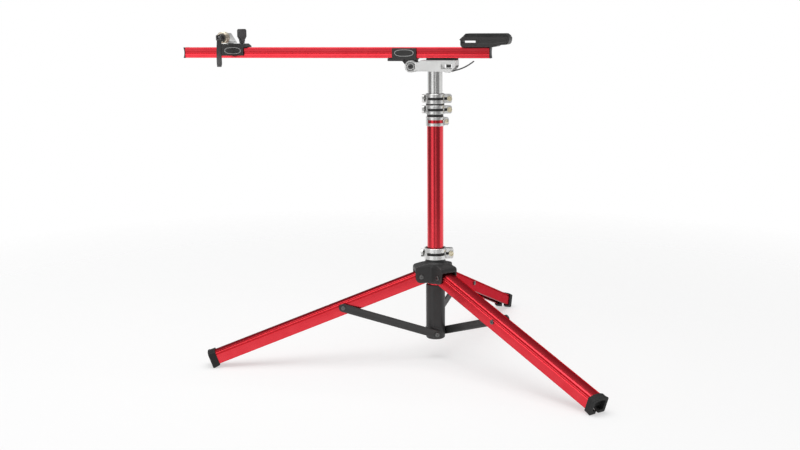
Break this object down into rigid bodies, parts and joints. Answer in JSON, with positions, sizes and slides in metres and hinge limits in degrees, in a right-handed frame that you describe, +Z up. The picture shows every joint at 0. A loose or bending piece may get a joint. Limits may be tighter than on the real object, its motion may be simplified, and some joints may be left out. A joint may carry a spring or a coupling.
{
  "type": "bicycle repair stand",
  "caption": "Folding floor stand with braced legs, a telescoping swivelling mast and a hinged beam with a sliding fork axle clamp and a cradle.",
  "frame": {"origin": "bottom centre of the whole stand's box, on the floor", "axes": "+X along the beam towards the bottom bracket cradle, +Y to the leg at the back, +Z up along the mast"},
  "size_m": [1.0556, 0.8808, 0.7745],
  "materials": {
    "red_anodised": "bright red anodised aluminium, drawn",
    "satin_aluminium": "satin silver aluminium",
    "champagne_aluminium": "champagne anodised aluminium",
    "brass": "bright brass",
    "black_steel": "black zinc plated steel",
    "black_plastic": "black glass-filled nylon, fine matt grain",
    "black_rubber": "matt black rubber"
  },
  "bodies": {
    "base": {"lower_tube": "red_anodised", "hub_column": "black_plastic", "hub_screw_1": "black_steel", "hub_screw_2": "black_steel", "hub_screw_3": "black_steel", "tube_collar": "satin_aluminium", "tube_collar_bolt": "brass", "tube_bushing": "black_plastic", "rotation_clamp": "satin_aluminium", "rotation_clamp_bolt": "brass"},
    "rotation_lever": {"rotation_lever": "satin_aluminium"},
    "yoke": {"yoke": "black_plastic", "yoke_clamp": "satin_aluminium", "yoke_clamp_bolt": "brass", "leg_pivot_bolt_1": "black_steel", "leg_pivot_bolt_2": "black_steel", "leg_pivot_bolt_3": "black_steel"},
    "yoke_lever": {"yoke_lever": "satin_aluminium"},
    "swivel": {"swivel_sleeve": "black_plastic", "swivel_washer": "black_plastic", "height_clamp": "satin_aluminium", "height_clamp_bolt": "brass"},
    "height_lever": {"height_lever": "satin_aluminium"},
    "mast": {"mast_tube": "satin_aluminium", "mast_plug": "black_plastic", "head_bracket": "satin_aluminium", "beam_rest_pad": "black_rubber", "lock_nut": "black_steel", "hinge_bolt": "black_steel"},
    "lock_lever": {"lock_lever": "black_steel"},
    "beam": {"beam": "red_anodised", "beam_cap_front": "black_plastic", "beam_cap_rear": "black_plastic", "hinge_collar": "black_plastic", "cradle_bolt": "black_steel"},
    "cradle": {"bb_cradle": "black_plastic", "bb_pad": "black_rubber"},
    "carriage": {"fork_carriage": "black_plastic", "axle_rod": "black_steel", "axle_barrel": "champagne_aluminium", "axle_block": "satin_aluminium", "axle_cup": "black_plastic"},
    "axle_lever": {"axle_lever": "black_steel"},
    "carriage_knob": {"carriage_knob": "black_plastic"},
    "leg_1": {"leg_1": "red_anodised", "foot_1": "black_rubber", "leg_bolt_1": "black_steel"},
    "brace_1": {"brace_1": "black_plastic", "brace_pin_1": "black_steel"},
    "leg_2": {"leg_2": "red_anodised", "foot_2": "black_rubber", "leg_bolt_2": "black_steel"},
    "brace_2": {"brace_2": "black_plastic", "brace_pin_2": "black_steel"},
    "leg_3": {"leg_3": "red_anodised", "foot_3": "black_rubber", "leg_bolt_3": "black_steel"},
    "brace_3": {"brace_3": "black_plastic", "brace_pin_3": "black_steel"}
  },
  "joints": [
    {"name": "yoke_slide", "type": "slide", "parent": "base", "child": "yoke", "axis": [0, 0, 1], "range_m": [0, 0.284]},
    {"name": "leg_1_fold", "type": "hinge", "parent": "yoke", "child": "leg_1", "pos_m": [0.05789, -0.10736, 0.2], "axis": [0.3746, -0.9272, 0], "range_deg": [0, 65.1]},
    {"name": "leg_2_fold", "type": "hinge", "parent": "yoke", "child": "leg_2", "pos_m": [0.12136, -0.11628, 0.2], "axis": [0.6157, 0.788, 0], "range_deg": [0, 65.1]},
    {"name": "leg_3_fold", "type": "hinge", "parent": "yoke", "child": "leg_3", "pos_m": [0.09735, -0.05686, 0.2], "axis": [-0.9903, 0.1392, 0], "range_deg": [0, 65.1]},
    {"name": "brace_1_fold", "type": "hinge", "parent": "base", "child": "brace_1", "pos_m": [0.0922, -0.0935, 0.06], "axis": [-0.3746, 0.9272, 0], "range_deg": [0, 58.3]},
    {"name": "brace_2_fold", "type": "hinge", "parent": "base", "child": "brace_2", "pos_m": [0.0922, -0.0935, 0.06], "axis": [-0.6157, -0.788, 0], "range_deg": [0, 58.3]},
    {"name": "brace_3_fold", "type": "hinge", "parent": "base", "child": "brace_3", "pos_m": [0.0922, -0.0935, 0.06], "axis": [0.9903, -0.1392, 0], "range_deg": [0, 58.3]},
    {"name": "yoke_lever_turn", "type": "hinge", "parent": "yoke", "child": "yoke_lever", "pos_m": [0.12403, -0.07048, 0.25195], "axis": [0, 0, -1], "range_deg": [0, 110]},
    {"name": "rotation_lever_turn", "type": "hinge", "parent": "base", "child": "rotation_lever", "pos_m": [0.12045, -0.07144, 0.5893], "axis": [0, 0, -1], "range_deg": [0, 110]},
    {"name": "mast_rotation", "type": "hinge", "parent": "base", "child": "swivel", "pos_m": [0.0922, -0.0935, 0.5725], "axis": [0, 0, 1], "continuous": true},
    {"name": "height_lever_turn", "type": "hinge", "parent": "swivel", "child": "height_lever", "pos_m": [0.12045, -0.07144, 0.61445], "axis": [0, 0, -1], "range_deg": [0, 110]},
    {"name": "mast_height", "type": "slide", "parent": "swivel", "child": "mast", "axis": [0, 0, 1], "range_m": [-0.045, 0.33]},
    {"name": "lock_lever_turn", "type": "hinge", "parent": "mast", "child": "lock_lever", "pos_m": [0.1272, -0.0935, 0.68], "axis": [0, 1, 0], "range_deg": [0, 65]},
    {"name": "beam_fold", "type": "hinge", "parent": "mast", "child": "beam", "pos_m": [0.0392, -0.0935, 0.688], "axis": [0, -1, 0], "range_deg": [0, 87]},
    {"name": "cradle_swivel", "type": "hinge", "parent": "beam", "child": "cradle", "pos_m": [0.2002, -0.0935, 0.7312], "axis": [0, 0, 1], "continuous": true},
    {"name": "carriage_slide", "type": "slide", "parent": "beam", "child": "carriage", "axis": [1, 0, 0], "range_m": [-0.075, 0.33]},
    {"name": "knob_turn", "type": "hinge", "parent": "carriage", "child": "carriage_knob", "pos_m": [-0.3803, -0.0935, 0.7312], "axis": [0, 0, 1], "continuous": true},
    {"name": "axle_lever_turn", "type": "hinge", "parent": "carriage", "child": "axle_lever", "pos_m": [-0.4128, -0.152, 0.755], "axis": [-1, 0, 0], "range_deg": [0, 170]}
  ],
  "couplings": [
    {"joint": "leg_1_fold", "follows": "yoke_slide", "rad_per_m": 3.9923},
    {"joint": "leg_2_fold", "follows": "yoke_slide", "rad_per_m": 3.9923},
    {"joint": "leg_3_fold", "follows": "yoke_slide", "rad_per_m": 3.9923},
    {"joint": "brace_1_fold", "follows": "yoke_slide", "rad_per_m": 3.5753},
    {"joint": "brace_2_fold", "follows": "yoke_slide", "rad_per_m": 3.5753},
    {"joint": "brace_3_fold", "follows": "yoke_slide", "rad_per_m": 3.5753}
  ]
}
